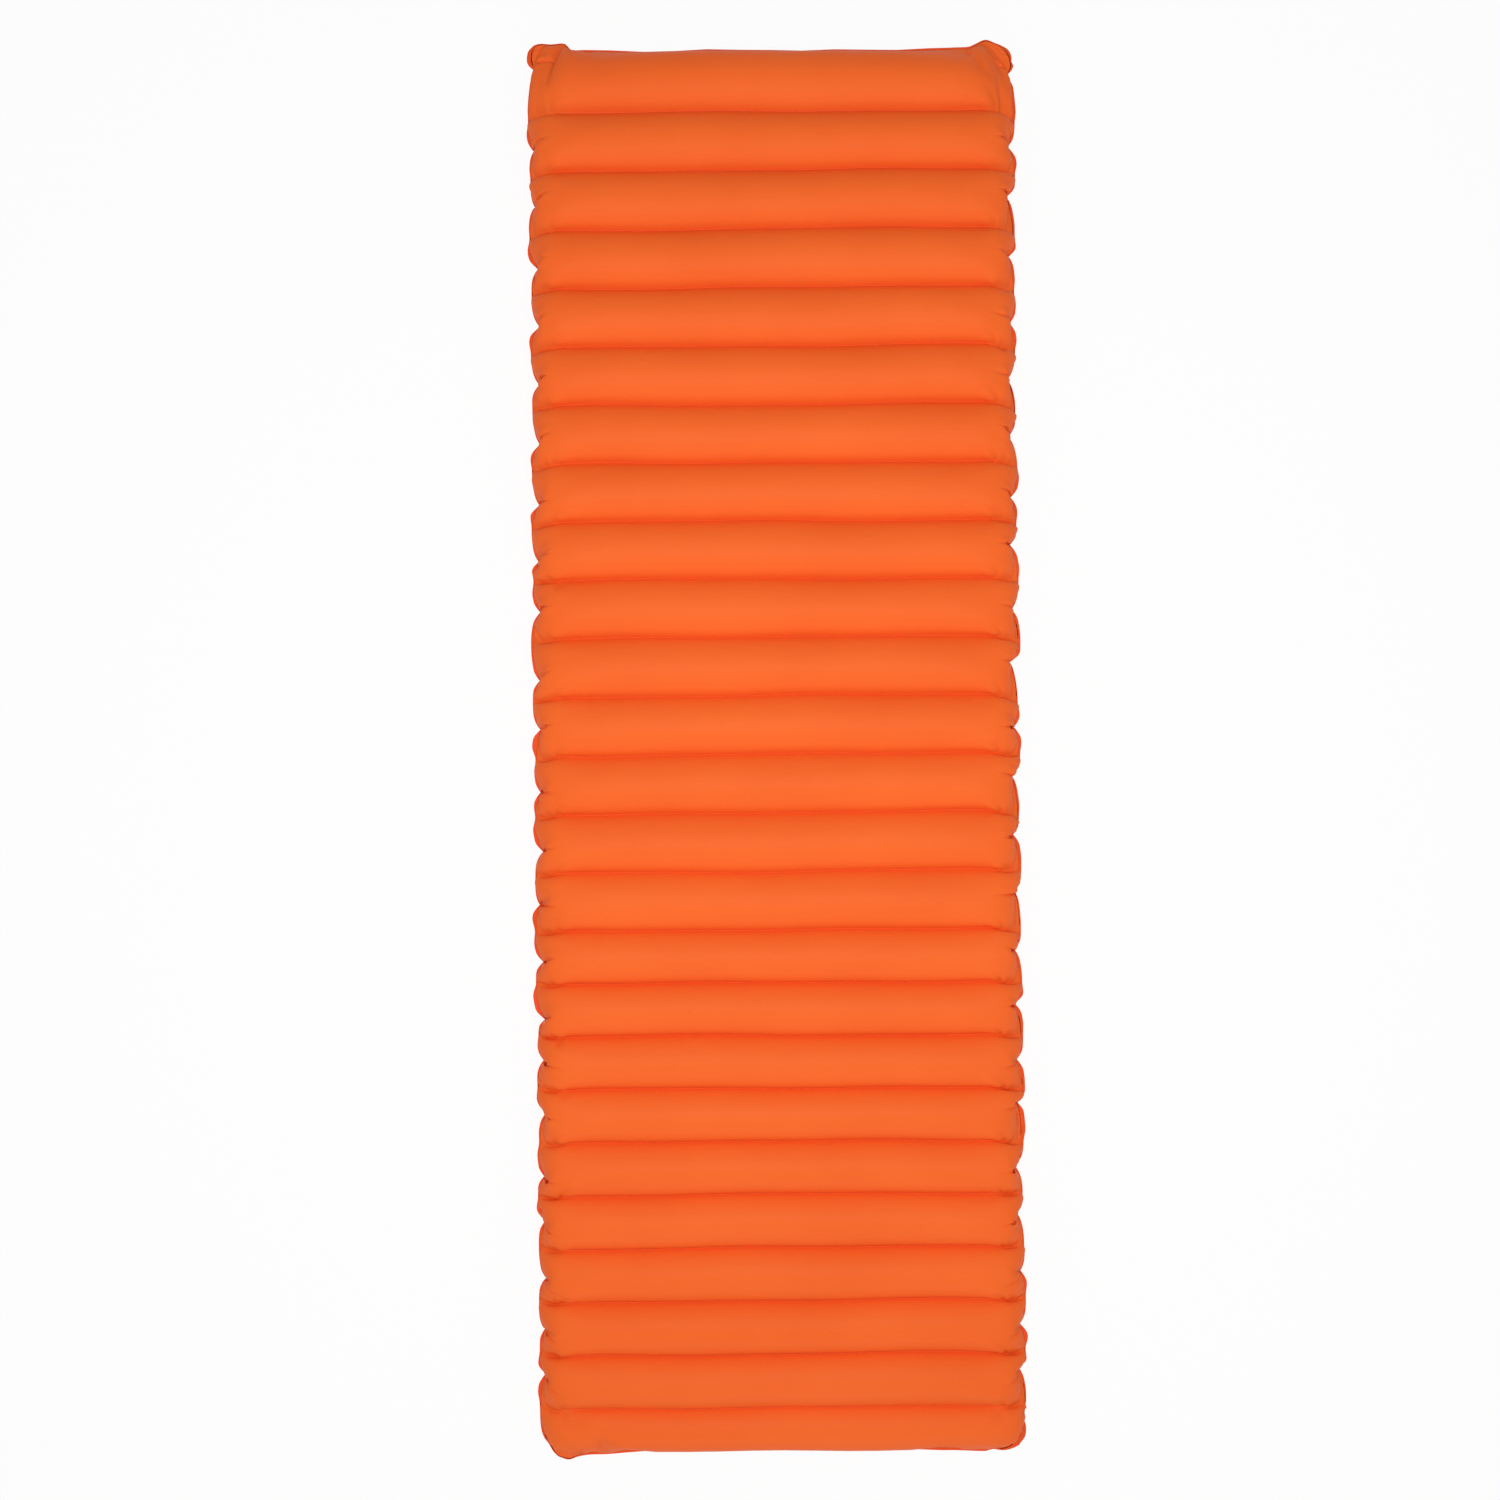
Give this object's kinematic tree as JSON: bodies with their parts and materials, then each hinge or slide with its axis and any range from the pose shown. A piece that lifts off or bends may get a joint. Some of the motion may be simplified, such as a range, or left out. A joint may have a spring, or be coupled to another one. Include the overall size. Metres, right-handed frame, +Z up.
{
  "type": "inflatable sleeping pad",
  "caption": "Rectangular inflatable sleeping pad with crosswise air baffles, a welded rim and a flat two-stage valve in its underside.",
  "frame": {"origin": "middle of the box round the pad, on the surface that it lies on", "axes": "+X across the pad, +Y from foot to head, +Z up out of the sleeping side"},
  "size_m": [0.635, 1.8286, 0.0835],
  "materials": {
    "sheet": "satin coated nylon",
    "sheet_under": "satin coated nylon",
    "web": "uncoated film-laminated nylon",
    "valve": "matt moulded urethane",
    "flap": "silicone"
  },
  "bodies": {
    "root": {"top_sheet": "sheet", "bottom_sheet": "sheet_under", "baffle_web_01": "web", "baffle_web_02": "web", "baffle_web_03": "web", "baffle_web_04": "web", "baffle_web_05": "web", "baffle_web_06": "web", "baffle_web_07": "web", "baffle_web_08": "web", "baffle_web_09": "web", "baffle_web_10": "web", "baffle_web_11": "web", "baffle_web_12": "web", "baffle_web_13": "web", "baffle_web_14": "web", "baffle_web_15": "web", "baffle_web_16": "web", "baffle_web_17": "web", "baffle_web_18": "web", "baffle_web_19": "web", "baffle_web_20": "web", "baffle_web_21": "web", "baffle_web_22": "web", "baffle_web_23": "web", "baffle_web_24": "web", "valve_base": "valve"},
    "plug": {"inflate_plug": "valve", "flap_cage": "valve"},
    "cap": {"seal_cap": "valve"},
    "flap": {"check_flap": "flap"}
  },
  "joints": [
    {"name": "plug_flip", "type": "hinge", "parent": "root", "child": "plug", "pos_m": [-0.19038, 0.785, 0.00798], "axis": [0, -1, 0], "range_deg": [0, 135]},
    {"name": "cap_flip", "type": "hinge", "parent": "plug", "child": "cap", "pos_m": [-0.215, 0.79976, 0.00575], "axis": [1, 0, 0], "range_deg": [0, 150]},
    {"name": "flap_lift", "type": "slide", "parent": "plug", "child": "flap", "axis": [0, 0, 1], "range_m": [0, 0.001]}
  ]
}
